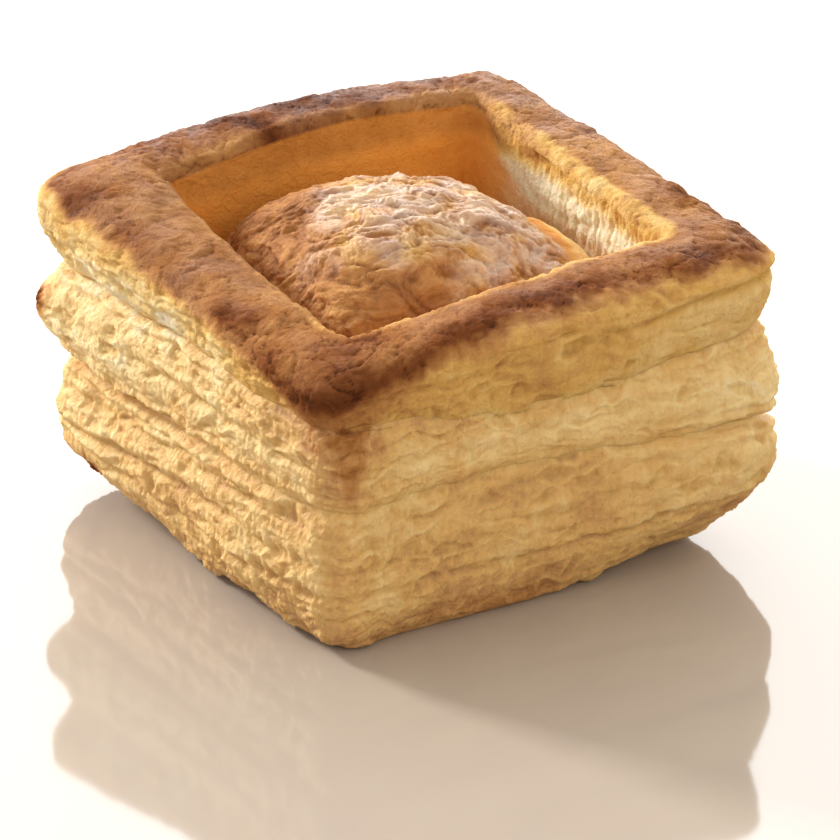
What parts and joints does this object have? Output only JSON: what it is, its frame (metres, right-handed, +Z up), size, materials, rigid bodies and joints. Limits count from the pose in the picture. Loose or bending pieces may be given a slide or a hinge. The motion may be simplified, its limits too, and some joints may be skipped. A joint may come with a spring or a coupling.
{
  "type": "vol au vent",
  "caption": "Square puff pastry with a raised browned rim around a risen domed middle, layered sides and a flat underside.",
  "frame": {"origin": "middle of the box of the pastry's plan, on the surface it rests on", "axes": "+Z up, +X and +Y along the square's sides; the near corner of the picture is at -X, -Y"},
  "size_m": [0.0872, 0.088, 0.057],
  "materials": {
    "baked_pastry": "baked puff pastry: browned crust on the rim and the middle, pale yellow flaky layers at the sides"
  },
  "bodies": {
    "root": {"vol_au_vent": "baked_pastry"}
  },
  "joints": []
}
